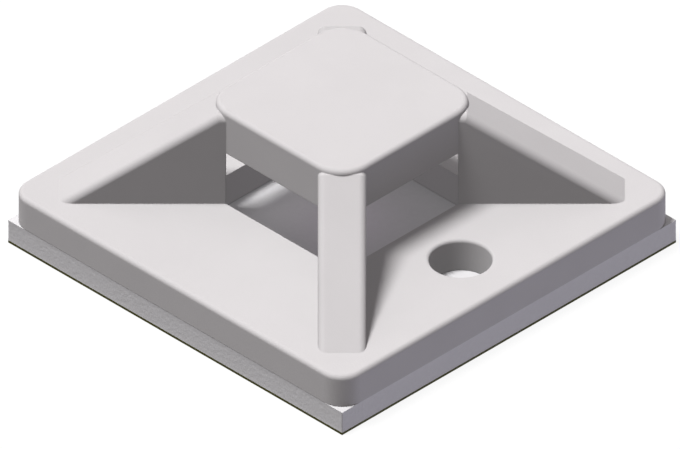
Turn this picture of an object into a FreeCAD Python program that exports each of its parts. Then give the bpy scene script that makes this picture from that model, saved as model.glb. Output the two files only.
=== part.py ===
import FreeCAD, Part
import math
import os

# Cable tie mount for wiring: a square moulded plate with a raised square cap on four sloping ribs.
# A tie threads under the cap, the foam pad sticks the mount down, and one screw hole is the other fixing.
# Millimetres, +Z up, origin at the centre of the footprint on the underside of the release liner.

# Footprint that the plate, the foam pad and the release liner share
base_side = 28.0

# Release liner and foam pad, cut square together
liner_thickness = 0.17
foam_thickness = 1.45

# Moulded plate
plate_thickness = 2.2
plate_corner_radius = 1.5
plate_edge_radius = 0.3

# Raised cap, the same square as the opening that is cored through the plate below it
cap_side = 11.76
cap_thickness = 2.96
cap_corner_radius = 2.0
cap_edge_radius = 0.3

# Clear height between plate and cap, where the tie goes through
tie_passage_height = 3.66

# Ribs along the two diagonals
rib_width = 2.88
rib_edge_radius = 0.44
rib_top_step = 0.31
rib_shoulder_inset = 0.08
rib_toe_margin = 2.41

# Screw hole through the plate, with a softened rim
screw_hole_diameter = 3.76
screw_hole_edge_margin = 2.18
screw_rim_radius = 0.2

# Heights of the faces that the pieces share
foam_bottom = liner_thickness
plate_bottom = foam_bottom + foam_thickness
plate_top = plate_bottom + plate_thickness
cap_bottom = plate_top + tie_passage_height
cap_top = cap_bottom + cap_thickness
rib_top = cap_top - rib_top_step

# Reaches from the centre along a diagonal, where the corners are rounded
corner_gain = math.sqrt(2)
rounded_corner_loss = corner_gain - 1
plate_corner_reach = corner_gain * base_side / 2 - rounded_corner_loss * plate_corner_radius
cap_corner_reach = corner_gain * cap_side / 2 - rounded_corner_loss * cap_corner_radius
rib_toe_reach = plate_corner_reach - rib_toe_margin
rib_shoulder_reach = cap_corner_reach - rib_shoulder_inset

screw_hole_radius = screw_hole_diameter / 2
screw_hole_x = base_side / 2 - screw_hole_edge_margin - screw_hole_radius

rib_angles = (45, 135, 225, 315)
up = FreeCAD.Vector(0, 0, 1)
origin = FreeCAD.Vector(0, 0, 0)

# Two lengths closer than this count as equal when edges are picked
pick_tolerance = 0.001


def square_block(side, bottom, height):
    """A square block centred on the Z axis."""
    return Part.makeBox(side, side, height, FreeCAD.Vector(-side / 2, -side / 2, bottom))


def upright_edges(shape):
    return [e for e in shape.Edges if max(e.BoundBox.XLength, e.BoundBox.YLength) < pick_tolerance]


def edges_at_height(shape, height):
    return [
        e
        for e in shape.Edges
        if e.BoundBox.ZLength < pick_tolerance and abs(e.BoundBox.ZMin - height) < pick_tolerance
    ]


def rounded_block(side, bottom, height, corner_radius, edge_radius):
    """A square block with rounded corners and a softened top edge."""
    block = square_block(side, bottom, height)
    block = block.makeFillet(corner_radius, upright_edges(block))
    return block.makeFillet(edge_radius, edges_at_height(block, bottom + height))


def rib(angle):
    """One rib: level beside the cap, then sloping down to its toe on the plate."""
    outline = [
        (0, plate_bottom),
        (rib_toe_reach, plate_bottom),
        (rib_toe_reach, plate_top),
        (rib_shoulder_reach, rib_top),
        (0, rib_top),
    ]
    points = [FreeCAD.Vector(reach, -rib_width / 2, z) for reach, z in outline]
    flank = Part.Face(Part.makePolygon(points + points[:1]))
    blank = flank.extrude(FreeCAD.Vector(0, rib_width, 0))
    blank = blank.makeFillet(rib_edge_radius, long_top_edges(blank))
    blank.rotate(origin, up, angle)
    return blank


def long_top_edges(blank):
    """The edges along both sides of a rib's top, on the level and on the slope."""
    return [
        e
        for e in blank.Edges
        if e.BoundBox.YLength < pick_tolerance
        and e.BoundBox.XLength > pick_tolerance
        and e.BoundBox.ZMax > rib_top - pick_tolerance
    ]


def mount_body():
    """The moulding: plate, ribs and cap in one, cored out from below up to the cap."""
    body = rounded_block(base_side, plate_bottom, plate_thickness, plate_corner_radius, plate_edge_radius)
    for angle in rib_angles:
        body = body.fuse(rib(angle))
    core = square_block(cap_side, plate_bottom, cap_bottom - plate_bottom)
    body = body.cut(core)
    body = body.fuse(rounded_block(cap_side, cap_bottom, cap_thickness, cap_corner_radius, cap_edge_radius))
    body = body.cut(screw_hole())
    return body.removeSplitter()


def screw_hole():
    """The cutter of the screw hole, flared at the top by the rim's radius."""
    half_bend = screw_rim_radius * (1 - math.sqrt(0.5))
    axis_low = FreeCAD.Vector(0, 0, plate_bottom)
    wall_low = FreeCAD.Vector(screw_hole_radius, 0, plate_bottom)
    wall_high = FreeCAD.Vector(screw_hole_radius, 0, plate_top - screw_rim_radius)
    rim_middle = FreeCAD.Vector(screw_hole_radius + half_bend, 0, plate_top - half_bend)
    rim_edge = FreeCAD.Vector(screw_hole_radius + screw_rim_radius, 0, plate_top)
    axis_high = FreeCAD.Vector(0, 0, plate_top)
    profile = [
        Part.LineSegment(axis_low, wall_low),
        Part.LineSegment(wall_low, wall_high),
        Part.Arc(wall_high, rim_middle, rim_edge),
        Part.LineSegment(rim_edge, axis_high),
        Part.LineSegment(axis_high, axis_low),
    ]
    section = Part.Face(Part.Wire([curve.toShape() for curve in profile]))
    cutter = section.revolve(origin, up, 360)
    cutter.translate(FreeCAD.Vector(screw_hole_x, 0, 0))
    return cutter


def foam_pad():
    return square_block(base_side, foam_bottom, foam_thickness)


def release_liner():
    return square_block(base_side, 0, liner_thickness)


os.makedirs("parts", exist_ok=True)
for name, make in (("mount_body", mount_body), ("foam_pad", foam_pad), ("release_liner", release_liner)):
    shape = make()
    shape.exportStep("parts/" + name + ".step")
    print(name, "solids", len(shape.Solids), "valid", shape.isValid(), "volume %.2f mm3" % shape.Volume)
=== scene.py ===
import math

import bmesh
import bpy
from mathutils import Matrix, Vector, noise


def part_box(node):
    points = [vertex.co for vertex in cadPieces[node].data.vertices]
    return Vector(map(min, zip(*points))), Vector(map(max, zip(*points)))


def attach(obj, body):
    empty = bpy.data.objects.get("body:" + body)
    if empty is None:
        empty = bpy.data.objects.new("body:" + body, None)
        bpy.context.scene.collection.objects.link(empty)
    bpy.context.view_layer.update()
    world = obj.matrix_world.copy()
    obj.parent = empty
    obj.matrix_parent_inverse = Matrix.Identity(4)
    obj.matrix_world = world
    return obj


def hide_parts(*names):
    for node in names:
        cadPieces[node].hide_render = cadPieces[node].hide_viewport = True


# Cable tie mount: a moulded plate with a raised cap, on a foam pad with a release liner
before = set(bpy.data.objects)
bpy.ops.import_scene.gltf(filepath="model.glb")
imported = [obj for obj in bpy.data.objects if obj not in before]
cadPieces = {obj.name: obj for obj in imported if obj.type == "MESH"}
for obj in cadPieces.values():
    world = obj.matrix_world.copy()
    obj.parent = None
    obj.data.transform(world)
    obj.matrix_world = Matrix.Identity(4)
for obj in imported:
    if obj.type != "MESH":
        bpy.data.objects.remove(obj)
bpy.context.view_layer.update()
mm = 0.001
scene = bpy.context.scene
print("frame loaded:", ", ".join(sorted(cadPieces)))

# An isometric view over the corner between the two near sides, with parallel edges kept parallel
viewValues = {
    "azimuth": 45.0,
    "elevation": 35.264,
    "across": 40.313 * mm,  # the width that the picture spans
    "aim": (-0.088 * mm, -0.088 * mm, 1.30 * mm),
    "distance": 0.5,
    "nearClip": 0.05,
    "farClip": 6.0,
}


def directionTo(azimuth, elevation):
    # from the mount towards a place round it; azimuth 0 is in front, on the -Y side
    a, e = math.radians(azimuth), math.radians(elevation)
    return Vector((math.sin(a) * math.cos(e), -math.cos(a) * math.cos(e), math.sin(e)))


def placeCamera(v):
    camera = bpy.data.objects.new("viewCamera", bpy.data.cameras.new("viewCamera"))
    scene.collection.objects.link(camera)
    back = directionTo(v["azimuth"], v["elevation"])
    camera.data.type = "ORTHO"
    camera.data.ortho_scale = v["across"]
    camera.data.clip_start = v["nearClip"]
    camera.data.clip_end = v["farClip"]
    camera.location = Vector(v["aim"]) + back * v["distance"]
    camera.rotation_mode = "QUATERNION"
    camera.rotation_quaternion = back.to_track_quat("Z", "Y")
    scene.camera = camera


placeCamera(viewValues)
print("camera placed")


# Short ways to build node trees
def addNode(tree, kind, x, y, **settings):
    node = tree.nodes.new(kind)
    node.location = (x, y)
    for name, value in settings.items():
        setattr(node, name, value)
    return node


def connect(tree, value, socket):
    # the value is another node's socket, or a plain number, colour or vector
    if isinstance(value, bpy.types.NodeSocket):
        tree.links.new(value, socket)
    else:
        socket.default_value = value


def feed(tree, node, **values):
    # each value goes to the socket of its name, where _ stands for a space
    for name, value in values.items():
        connect(tree, value, node.inputs[name.replace("_", " ")])
    return node


def mathOf(tree, x, y, operation, first, second, clamp=False):
    node = addNode(tree, "ShaderNodeMath", x, y, operation=operation, use_clamp=clamp)
    connect(tree, first, node.inputs[0])
    connect(tree, second, node.inputs[1])
    return node.outputs[0]


def spread(tree, x, y, source, taken, given=(0.0, 1.0)):
    # a smooth step from one range to another
    node = addNode(tree, "ShaderNodeMapRange", x, y, interpolation_type="SMOOTHSTEP")
    feed(tree, node, Value=source, From_Min=taken[0], From_Max=taken[1], To_Min=given[0], To_Max=given[1])
    return node.outputs["Result"]


def mixColours(tree, x, y, amount, first, second):
    node = addNode(tree, "ShaderNodeMix", x, y, data_type="RGBA")
    for index, value in ((0, amount), (6, first), (7, second)):  # this node's sockets for mixing colours
        connect(tree, value, node.inputs[index])
    return node.outputs[2]


def startGroup(name, inputs, outputs):
    # inputs are (name, kind, default) and outputs are (name, kind)
    tree = bpy.data.node_groups.new(name, "ShaderNodeTree")
    for label, kind, value in inputs:
        socket = tree.interface.new_socket(label, in_out="INPUT", socket_type="NodeSocket" + kind)
        socket.default_value = value
    for label, kind in outputs:
        tree.interface.new_socket(label, in_out="OUTPUT", socket_type="NodeSocket" + kind)
    entry = addNode(tree, "NodeGroupInput", -1000, 0)
    leave = addNode(tree, "NodeGroupOutput", 800, 0)
    place = addNode(tree, "ShaderNodeTexCoord", -1000, -300)
    return tree, entry.outputs, leave, place.outputs["Object"]


def useGroup(tree, group, x, y, **values):
    node = addNode(tree, "ShaderNodeGroup", x, y)
    node.node_tree = group
    return feed(tree, node, **values).outputs


# Fine pebbled grain that a matt mould or a calendered sheet leaves
grainValues = {
    "hazeDetail": 3.0,
    "hazeRoughness": 0.6,
    "patchShare": 0.08,  # the scale of the gloss patches, as a share of the grain's
    "patchDetail": 2.0,
    "patchRange": (0.3, 0.7),
}


def makeGrainGroup(v):
    tree, entry, leave, place = startGroup(
        "fineGrain",
        [("Scale", "Float", 8000.0), ("Softness", "Float", 0.5)],
        [("Height", "Float"), ("Gloss", "Float")],
    )
    pebbles = addNode(tree, "ShaderNodeTexVoronoi", -700, 200, feature="SMOOTH_F1")
    feed(tree, pebbles, Vector=place, Scale=entry["Scale"], Smoothness=entry["Softness"])
    haze = addNode(tree, "ShaderNodeTexNoise", -700, -100)
    feed(tree, haze, Vector=place, Scale=entry["Scale"])
    feed(tree, haze, Detail=v["hazeDetail"], Roughness=v["hazeRoughness"])
    patchScale = mathOf(tree, -850, -450, "MULTIPLY", entry["Scale"], v["patchShare"])
    patches = addNode(tree, "ShaderNodeTexNoise", -700, -400)
    feed(tree, patches, Vector=place, Scale=patchScale, Detail=v["patchDetail"])
    both = mathOf(tree, -400, 100, "ADD", pebbles.outputs["Distance"], haze.outputs["Fac"])
    feed(tree, leave, Height=mathOf(tree, -200, 100, "DIVIDE", both, 2.0))
    feed(tree, leave, Gloss=spread(tree, -400, -300, patches.outputs["Fac"], v["patchRange"]))
    return tree


# Slow drift of a colour, darker and lighter by turns
driftValues = {
    "detail": 4.0,
    "roughness": 0.55,
    "swirl": 0.4,
    "cloudRange": (0.25, 0.75),
}


def makeDriftGroup(v):
    tree, entry, leave, place = startGroup(
        "colourDrift",
        [
            ("Colour", "Color", (0.8, 0.8, 0.8, 1.0)),
            ("Scale", "Float", 150.0),
            ("Strength", "Float", 0.05),
        ],
        [("Colour", "Color")],
    )
    clouds = addNode(tree, "ShaderNodeTexNoise", -700, 200)
    feed(tree, clouds, Vector=place, Scale=entry["Scale"])
    feed(tree, clouds, Detail=v["detail"], Roughness=v["roughness"], Distortion=v["swirl"])
    level = spread(tree, -450, 200, clouds.outputs["Fac"], v["cloudRange"], (-1.0, 1.0))
    change = mathOf(tree, -250, 200, "MULTIPLY", level, entry["Strength"])
    gain = mathOf(tree, -50, 200, "ADD", change, 1.0)
    scaled = addNode(tree, "ShaderNodeVectorMath", 200, 100, operation="SCALE")
    connect(tree, entry["Colour"], scaled.inputs[0])
    feed(tree, scaled, Scale=gain)
    feed(tree, leave, Colour=scaled.outputs["Vector"])
    return tree


# Softened edges, and a mask of where hands and bags rub them
edgeValues = {
    "samples": 6,
    "turnRange": (0.999, 0.93),  # how alike the softened and the plain normal are, off the edge and on it
    "patchDetail": 3.0,
    "patchRange": (0.35, 0.65),
    "leastRub": 0.25,
}


def makeEdgeGroup(v):
    tree, entry, leave, place = startGroup(
        "edgeRub",
        [("Radius", "Float", 0.0001), ("Breakup", "Float", 900.0)],
        [("Mask", "Float"), ("Normal", "Vector")],
    )
    soft = addNode(tree, "ShaderNodeBevel", -700, 200, samples=v["samples"])
    feed(tree, soft, Radius=entry["Radius"])
    geometry = addNode(tree, "ShaderNodeNewGeometry", -700, 0)
    likeness = addNode(tree, "ShaderNodeVectorMath", -450, 100, operation="DOT_PRODUCT")
    connect(tree, soft.outputs["Normal"], likeness.inputs[0])
    connect(tree, geometry.outputs["Normal"], likeness.inputs[1])
    turned = spread(tree, -200, 100, likeness.outputs["Value"], v["turnRange"])
    patches = addNode(tree, "ShaderNodeTexNoise", -700, -200)
    feed(tree, patches, Vector=place, Scale=entry["Breakup"], Detail=v["patchDetail"])
    kept = spread(tree, -200, -200, patches.outputs["Fac"], v["patchRange"], (v["leastRub"], 1.0))
    feed(tree, leave, Mask=mathOf(tree, 100, 0, "MULTIPLY", turned, kept), Normal=soft.outputs["Normal"])
    return tree


# Dust that settles on what faces up
dustValues = {
    "colour": (0.6, 0.57, 0.54, 1.0),
    "upwardRange": (0.3, 0.95),
    "speckDetail": 5.0,
    "speckRoughness": 0.7,
    "rarest": 0.85,  # the noise that a speck has to pass where the cover is nil
    "coverGain": 0.5,
    "sharpness": 8.0,
}


def makeDustGroup(v):
    tree, entry, leave, place = startGroup(
        "settledDust",
        [("Scale", "Float", 2500.0), ("Cover", "Float", 0.3)],
        [("Mask", "Float")],
    )
    geometry = addNode(tree, "ShaderNodeNewGeometry", -700, 200)
    axes = addNode(tree, "ShaderNodeSeparateXYZ", -500, 200)
    feed(tree, axes, Vector=geometry.outputs["Normal"])
    upward = spread(tree, -300, 200, axes.outputs["Z"], v["upwardRange"])
    specks = addNode(tree, "ShaderNodeTexNoise", -700, -100)
    feed(tree, specks, Vector=place, Scale=entry["Scale"])
    feed(tree, specks, Detail=v["speckDetail"], Roughness=v["speckRoughness"])
    eased = mathOf(tree, -650, -250, "MULTIPLY", entry["Cover"], v["coverGain"])
    edge = mathOf(tree, -500, -200, "SUBTRACT", v["rarest"], eased)
    above = mathOf(tree, -300, -100, "SUBTRACT", specks.outputs["Fac"], edge)
    fleck = mathOf(tree, -100, -100, "MULTIPLY", above, v["sharpness"], clamp=True)
    feed(tree, leave, Mask=mathOf(tree, 100, 0, "MULTIPLY", upward, fleck))
    return tree


# Packed closed cells of foam: a height that dips in each cell, and a shade for each
cellValues = {"wallWidth": 0.3}  # of a cell's own size


def makeCellGroup(v):
    tree, entry, leave, place = startGroup(
        "closedCells",
        [("Scale", "Float", 4000.0)],
        [("Height", "Float"), ("Shade", "Float")],
    )
    walls = addNode(tree, "ShaderNodeTexVoronoi", -700, 200, feature="DISTANCE_TO_EDGE")
    feed(tree, walls, Vector=place, Scale=entry["Scale"])
    cells = addNode(tree, "ShaderNodeTexVoronoi", -700, -100, feature="F1")
    feed(tree, cells, Vector=place, Scale=entry["Scale"])
    height = spread(tree, -400, 200, walls.outputs["Distance"], (0.0, v["wallWidth"]), (1.0, 0.0))
    parts = addNode(tree, "ShaderNodeSeparateColor", -450, -100)
    feed(tree, parts, Color=cells.outputs["Color"])
    feed(tree, leave, Height=height, Shade=parts.outputs["Red"])
    return tree


grainGroup = makeGrainGroup(grainValues)
driftGroup = makeDriftGroup(driftValues)
edgeGroup = makeEdgeGroup(edgeValues)
dustGroup = makeDustGroup(dustValues)
cellGroup = makeCellGroup(cellValues)
print("shared effects built")


def startMaterial(name):
    material = bpy.data.materials.new(name)
    material.use_nodes = True
    tree = material.node_tree
    tree.nodes.clear()
    shader = addNode(tree, "ShaderNodeBsdfPrincipled", 600, 0)
    end = addNode(tree, "ShaderNodeOutputMaterial", 900, 0)
    feed(tree, end, Surface=shader.outputs["BSDF"])
    return material, tree, shader


# The moulding: matt nylon with mould grain, edges rubbed a little paler and a trace of dust
nylonValues = {
    "colour": (0.76, 0.738, 0.745, 1.0),
    "rubbedColour": (0.83, 0.81, 0.82, 1.0),
    "driftScale": 160.0,  # per metre, as all the scales are
    "driftStrength": 0.016,
    "grainScale": 7000.0,
    "grainDepth": 0.005 * mm,
    "edgeRadius": 0.08 * mm,
    "edgeBreakup": 1100.0,
    "rub": 0.35,
    "dust": 0.35,
    "dustCover": 0.3,
    "roughness": (0.58, 0.7),
    "shine": 0.04,
}


def makeNylon(v):
    material, tree, shader = startMaterial("mouldedNylon")
    drift = {"Colour": v["colour"], "Scale": v["driftScale"], "Strength": v["driftStrength"]}
    base = useGroup(tree, driftGroup, -600, 300, **drift)
    edge = useGroup(tree, edgeGroup, -600, 0, Radius=v["edgeRadius"], Breakup=v["edgeBreakup"])
    dust = useGroup(tree, dustGroup, -600, -200, Cover=v["dustCover"])
    grain = useGroup(tree, grainGroup, -600, -400, Scale=v["grainScale"])
    rubbing = mathOf(tree, -400, 100, "MULTIPLY", edge["Mask"], v["rub"])
    rubbed = mixColours(tree, -150, 250, rubbing, base["Colour"], v["rubbedColour"])
    dusting = mathOf(tree, -400, -100, "MULTIPLY", dust["Mask"], v["dust"])
    colour = mixColours(tree, 100, 200, dusting, rubbed, dustValues["colour"])
    bump = addNode(tree, "ShaderNodeBump", 300, -300)
    feed(tree, bump, Height=grain["Height"], Distance=v["grainDepth"], Normal=edge["Normal"])
    roughness = spread(tree, 100, -50, grain["Gloss"], (0.0, 1.0), v["roughness"])
    feed(tree, shader, Base_Color=colour, Roughness=roughness, Normal=bump.outputs["Normal"])
    feed(tree, shader, Specular_IOR_Level=v["shine"])
    return material


# Foam tape: the skins that carry the adhesive are smoother than the sides, where the knife opened
# the cells
foamValues = {
    "colour": (0.96, 0.945, 0.965, 1.0),
    "cellColour": (0.91, 0.895, 0.915, 1.0),
    "cellScale": 4200.0,
    "cellShade": 0.5,  # how far the darkest cell goes to the cell colour
    "driftStrength": 0.01,
    "dust": 0.2,
    "skinDepth": 0.002 * mm,
    "cutDepth": 0.002 * mm,
    "shine": 0.2,
    "skinRoughness": 0.42,
    "cutRoughness": 0.85,
    "wallStep": 0.075 * mm,
    "waist": 0.004 * mm,  # how far the knife squeezed the sides in at mid height
    "wave": 0.005 * mm,
    "waveLength": 4.0 * mm,
    "waveShift": 7.0,  # keeps the waves of the four sides apart
    "cellSize": 0.26 * mm,
    "cellDepth": 0.009 * mm,
    "cellSharpness": 2.2,
    "cellShift": 0.1,  # metres between the cells of one side and the next
    "skinFade": 2.0,  # how soon waves and cells reach their full depth away from the skins
}


def makeFoam(v, name, depth, roughness):
    material, tree, shader = startMaterial(name)
    cells = useGroup(tree, cellGroup, -600, -200, Scale=v["cellScale"])
    base = useGroup(tree, driftGroup, -600, 200, Colour=v["colour"], Strength=v["driftStrength"])
    dust = useGroup(tree, dustGroup, -600, 0)
    shade = mathOf(tree, -350, 0, "MULTIPLY", cells["Shade"], v["cellShade"])
    colour = mixColours(tree, -100, 200, shade, base["Colour"], v["cellColour"])
    dusting = mathOf(tree, -350, -100, "MULTIPLY", dust["Mask"], v["dust"])
    dusty = mixColours(tree, 150, 200, dusting, colour, dustValues["colour"])
    bump = addNode(tree, "ShaderNodeBump", 300, -300)
    feed(tree, bump, Height=cells["Height"], Distance=depth)
    feed(tree, shader, Base_Color=dusty, Roughness=roughness, Normal=bump.outputs["Normal"])
    feed(tree, shader, Specular_IOR_Level=v["shine"])
    return material


def foamWallInset(v, along, side, up, height):
    # how far a point of a side wall lies inside the pad's box, nothing at the two skins
    t = up / height
    belly = 4 * t * (1 - t)  # 0 at the skins and 1 at mid height
    wave = (noise.noise(Vector((along / v["waveLength"], side * v["waveShift"], t))) + 1) / 2
    distances = noise.voronoi(Vector((along, side * v["cellShift"], up)) / v["cellSize"])[0]
    pit = min(1.0, (distances[1] - distances[0]) * v["cellSharpness"])
    texture = wave * v["wave"] + pit * v["cellDepth"]
    return belly * v["waist"] + min(1.0, v["skinFade"] * belly) * texture


def foamWallPoint(v, corners, k, along, side, up, height):
    direction = (corners[(k + 1) % 4] - corners[k]).normalized()
    inward = Vector((-direction.y, direction.x))
    point = corners[k] + direction * along + inward * foamWallInset(v, along, k, up, height)
    # both walls pull a corner in, so each inset fades out towards the other wall
    pull = foamWallInset(v, 0.0, k, up, height)
    nearStart = max(0.0, 1 - along / v["cellSize"])
    nearEnd = max(0.0, 1 - (side - along) / v["cellSize"])
    return point + direction * (pull * nearStart - pull * nearEnd)


def foamRings(v, mesh, low, high):
    # level loops of points round the pad, from the lower skin to the upper one
    corners = [
        Vector((low.x, low.y)),
        Vector((high.x, low.y)),
        Vector((high.x, high.y)),
        Vector((low.x, high.y)),
    ]
    side = high.x - low.x
    height = high.z - low.z
    steps = round(side / v["wallStep"])
    levels = round(height / v["wallStep"])
    rings = []
    for level in range(levels + 1):
        up = height * level / levels
        ring = []
        for k in range(4):
            for step in range(steps):
                point = foamWallPoint(v, corners, k, side * step / steps, side, up, height)
                ring.append(mesh.verts.new((point.x, point.y, low.z + up)))
        rings.append(ring)
    return rings


def buildFoamPad(v):
    low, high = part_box("foam_pad")
    mesh = bmesh.new()
    rings = foamRings(v, mesh, low, high)
    count = len(rings[0])
    for below, above in zip(rings, rings[1:]):
        for k in range(count):
            after = (k + 1) % count
            wall = mesh.faces.new((below[k], below[after], above[after], above[k]))
            wall.material_index = 1  # the cut side, the second of the pad's materials
    mesh.faces.new(rings[-1])
    mesh.faces.new(rings[0][::-1])
    bmesh.ops.triangulate(mesh, faces=[f for f in mesh.faces if len(f.verts) > 4])
    for face in mesh.faces:
        face.smooth = face.material_index == 1
    for ring in (rings[0], rings[-1]):
        for k in range(count):
            mesh.edges.get((ring[k], ring[(k + 1) % count])).smooth = False
    data = bpy.data.meshes.new("foamPad")
    mesh.to_mesh(data)
    mesh.free()
    pad = bpy.data.objects.new("foamPad", data)
    scene.collection.objects.link(pad)
    data.materials.append(makeFoam(v, "foamSkin", v["skinDepth"], v["skinRoughness"]))
    data.materials.append(makeFoam(v, "foamCutSide", v["cutDepth"], v["cutRoughness"]))
    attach(pad, "root")
    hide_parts("foam_pad")


# Release liner: thin waxed paper, olive on both faces, with fibres that show on its cut edge
linerValues = {
    "colour": (0.06, 0.058, 0.004, 1.0),
    "fibreColour": (0.11, 0.105, 0.02, 1.0),
    "driftScale": 300.0,
    "driftStrength": 0.08,
    "fibreScale": (900.0, 2600.0, 9000.0),
    "fibreDetail": 4.0,
    "strandRange": (0.45, 0.7),
    "fibres": 0.4,
    "fibreDepth": 0.004 * mm,
    "edgeRadius": 0.02 * mm,
    "shine": 0.1,
    "roughness": (0.42, 0.55),
}


def makeLiner(v):
    material, tree, shader = startMaterial("waxedLinerPaper")
    place = addNode(tree, "ShaderNodeTexCoord", -1000, -200)
    stretched = addNode(tree, "ShaderNodeMapping", -800, -200)
    feed(tree, stretched, Vector=place.outputs["Object"], Scale=v["fibreScale"])
    fibres = addNode(tree, "ShaderNodeTexNoise", -600, -200)
    feed(tree, fibres, Vector=stretched.outputs["Vector"], Scale=1.0, Detail=v["fibreDetail"])
    strand = spread(tree, -400, -200, fibres.outputs["Fac"], v["strandRange"], (0.0, v["fibres"]))
    drift = {"Colour": v["colour"], "Scale": v["driftScale"], "Strength": v["driftStrength"]}
    base = useGroup(tree, driftGroup, -600, 200, **drift)
    edge = useGroup(tree, edgeGroup, -600, 0, Radius=v["edgeRadius"])
    grain = useGroup(tree, grainGroup, -600, -450)
    colour = mixColours(tree, -100, 200, strand, base["Colour"], v["fibreColour"])
    roughness = spread(tree, 100, -50, grain["Gloss"], (0.0, 1.0), v["roughness"])
    bump = addNode(tree, "ShaderNodeBump", 300, -300)
    feed(tree, bump, Height=fibres.outputs["Fac"], Distance=v["fibreDepth"], Normal=edge["Normal"])
    feed(tree, shader, Base_Color=colour, Roughness=roughness, Normal=bump.outputs["Normal"])
    feed(tree, shader, Specular_IOR_Level=v["shine"])
    return material


def dress(name, material):
    # a new finish on a CAD piece, whose shape stays
    for slot in cadPieces[name].material_slots:
        slot.material = material


dress("mount_body", makeNylon(nylonValues))
print("moulding finished")
buildFoamPad(foamValues)
print("foam pad built")
dress("release_liner", makeLiner(linerValues))
print("liner finished")

# Floor: white to the camera and in reflections, grey to the light that would bounce off it
floorValues = {
    "size": 4.0,
    "height": -0.01 * mm,
    "colour": (0.12, 0.12, 0.12, 1.0),
    "shadowShare": 0.12,  # how much of the white goes where the mount shades the floor
    "litLevel": 0.75,  # how much light falls on the open floor
}


def pickByRay(tree, lighting, seen):
    # the second shader for what the camera sees directly, in a reflection or through something
    rays = addNode(tree, "ShaderNodeLightPath", -300, 400).outputs
    sight = mathOf(tree, -100, 400, "MAXIMUM", rays["Is Camera Ray"], rays["Is Glossy Ray"])
    anySight = mathOf(tree, 100, 400, "MAXIMUM", sight, rays["Is Transmission Ray"])
    pick = addNode(tree, "ShaderNodeMixShader", 500, 0)
    for index, value in enumerate((anySight, lighting, seen)):
        connect(tree, value, pick.inputs[index])
    return pick.outputs[0]


def layFloor(v):
    half = v["size"] / 2
    data = bpy.data.meshes.new("floor")
    spots = [(x, y, v["height"]) for x, y in ((-half, -half), (half, -half), (half, half), (-half, half))]
    data.from_pydata(spots, [], [(0, 1, 2, 3)])
    floor = bpy.data.objects.new("floor", data)
    scene.collection.objects.link(floor)
    material = bpy.data.materials.new("paleFloor")
    material.use_nodes = True
    tree = material.node_tree
    tree.nodes.clear()
    share = v["shadowShare"]
    plain = feed(tree, addNode(tree, "ShaderNodeBsdfDiffuse", 0, -200), Color=v["colour"])
    glow = feed(tree, addNode(tree, "ShaderNodeEmission", 0, 200), Strength=1.0 - share * v["litLevel"])
    shaded = feed(tree, addNode(tree, "ShaderNodeBsdfDiffuse", 0, 50), Color=(share, share, share, 1.0))
    white = addNode(tree, "ShaderNodeAddShader", 300, 150)
    connect(tree, glow.outputs[0], white.inputs[0])
    connect(tree, shaded.outputs[0], white.inputs[1])
    end = addNode(tree, "ShaderNodeOutputMaterial", 750, 0)
    feed(tree, end, Surface=pickByRay(tree, plain.outputs[0], white.outputs[0]))
    data.materials.append(material)
    floor.visible_shadow = False  # so that the bounce lamp shines through it


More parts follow.
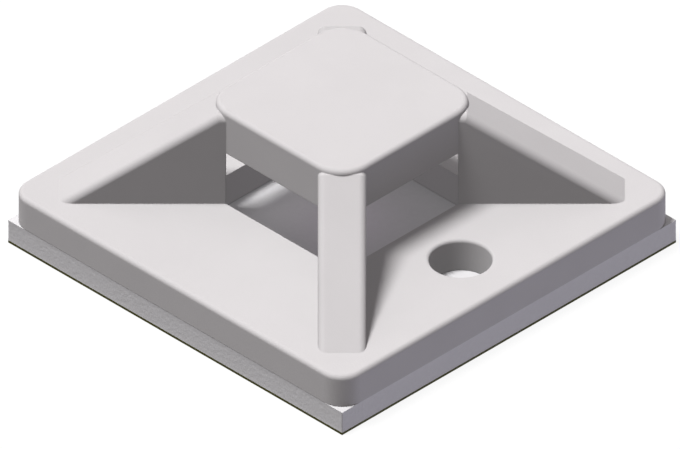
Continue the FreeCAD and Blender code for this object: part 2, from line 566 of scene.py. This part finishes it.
# Light: a broad lamp high over the left, a weak one lower on that side, one from below for what the floor
# throws back on the right, a glow under the cap, a faint sky and an even fill
lightValues = {
    "lamps": {
        "mainLamp": {
            "towards": (-0.165, -0.243, 0.956),
            "level": 0.81,
            "softness": 15.0,  # degrees across, seen from the mount
            "colour": (1.0, 1.0, 0.995),
        },
        "sideLamp": {
            "towards": (-0.6, 0.05, 0.8),
            "level": 0.08,
            "softness": 40.0,
            "colour": (1.0, 0.99, 0.99),
        },
        "bounceLamp": {
            "towards": (0.55, 0.55, -0.63),
            "level": 0.26,
            "softness": 50.0,
            "colour": (0.81, 0.81, 1.0),
        },
    },
    "glow": {
        "place": (0.0, 0.0, 5.2 * mm),
        "radius": 1.5 * mm,
        "level": 0.043,
        "reach": 4.5 * mm,
        "colour": (1.05, 0.8, 1.1),
    },
    "sky": {"level": 0.015, "colour": (1.5, 0.7, 1.0, 1.0)},
    "fill": {"level": 0.147, "reach": 0.04 * mm},
    "bounces": 0,
}


def addLamp(name, v):
    lamp = bpy.data.lights.new(name, "SUN")
    lamp.energy = v["level"] * math.pi  # a level of 1 shows a colour as it is written
    lamp.angle = math.radians(v["softness"])
    lamp.color = v["colour"]
    holder = bpy.data.objects.new(name, lamp)
    holder.rotation_mode = "QUATERNION"
    holder.rotation_quaternion = Vector(v["towards"]).to_track_quat("Z", "Y")
    scene.collection.objects.link(holder)


def addGlow(v):
    # what the lit foam and plate throw back under the cap
    glow = bpy.data.lights.new("glowUnderCap", "POINT")
    glow.energy = v["level"] * math.pi * 4 * math.pi * v["reach"] ** 2  # gives the level at that reach
    glow.shadow_soft_size = v["radius"]
    glow.color = v["colour"]
    holder = bpy.data.objects.new("glowUnderCap", glow)
    holder.location = v["place"]
    scene.collection.objects.link(holder)


def makeSky(v):
    sky = bpy.data.worlds.new("sky")
    sky.use_nodes = True
    tree = sky.node_tree
    tree.nodes.clear()
    lit = addNode(tree, "ShaderNodeBackground", 0, -100)
    feed(tree, lit, Color=v["colour"], Strength=v["level"])
    white = addNode(tree, "ShaderNodeBackground", 0, 100)
    feed(tree, white, Color=(1.0, 1.0, 1.0, 1.0), Strength=1.0)
    end = addNode(tree, "ShaderNodeOutputWorld", 750, 0)
    feed(tree, end, Surface=pickByRay(tree, lit.outputs[0], white.outputs[0]))
    scene.world = sky


def addFill(v):
    # the same soft light on every surface, less only in tight corners
    scene.cycles.use_fast_gi = True
    scene.cycles.fast_gi_method = "ADD"
    scene.world.light_settings.ao_factor = v["level"]
    scene.world.light_settings.distance = v["reach"]


layFloor(floorValues)
for lampName, lampValues in lightValues["lamps"].items():
    addLamp(lampName, lampValues)
addGlow(lightValues["glow"])
makeSky(lightValues["sky"])
addFill(lightValues["fill"])
scene.cycles.diffuse_bounces = lightValues["bounces"]
scene.view_settings.view_transform = "Standard"
print("floor and lights placed")
